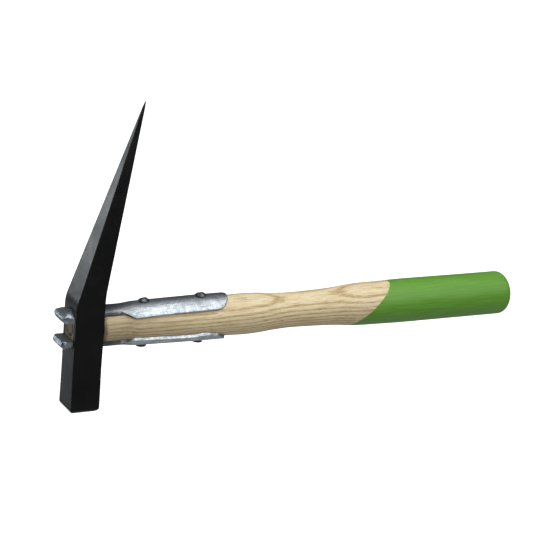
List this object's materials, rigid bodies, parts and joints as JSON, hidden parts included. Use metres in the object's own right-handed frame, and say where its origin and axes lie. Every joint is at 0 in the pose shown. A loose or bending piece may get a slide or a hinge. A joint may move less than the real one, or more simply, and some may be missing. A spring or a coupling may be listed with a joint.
{
  "type": "hammer",
  "caption": "Carpenter's spike hammer with a square face, a long leaning spike, riveted side straps ending in a nail claw, and a turned wooden handle with a painted end.",
  "frame": {"origin": "centre of the square striking face", "axes": "+X along the handle from the head to the butt, +Z from the striking face up to the spike's tip, +Y across the hammer, which is symmetrical about Y = 0"},
  "size_m": [0.4136, 0.0372, 0.245],
  "materials": {
    "black_steel": "black satin lacquer over forged steel",
    "ash": "waxed ash, green satin paint on the butt end",
    "zinc_steel": "bright zinc plate, hammered",
    "dark_steel": "oiled dark steel"
  },
  "bodies": {
    "root": {"head": "black_steel", "handle": "ash", "upper_strap": "zinc_steel", "lower_strap": "zinc_steel", "front_rivet": "dark_steel", "rear_rivet": "dark_steel", "ring_wedge": "dark_steel"}
  },
  "joints": []
}
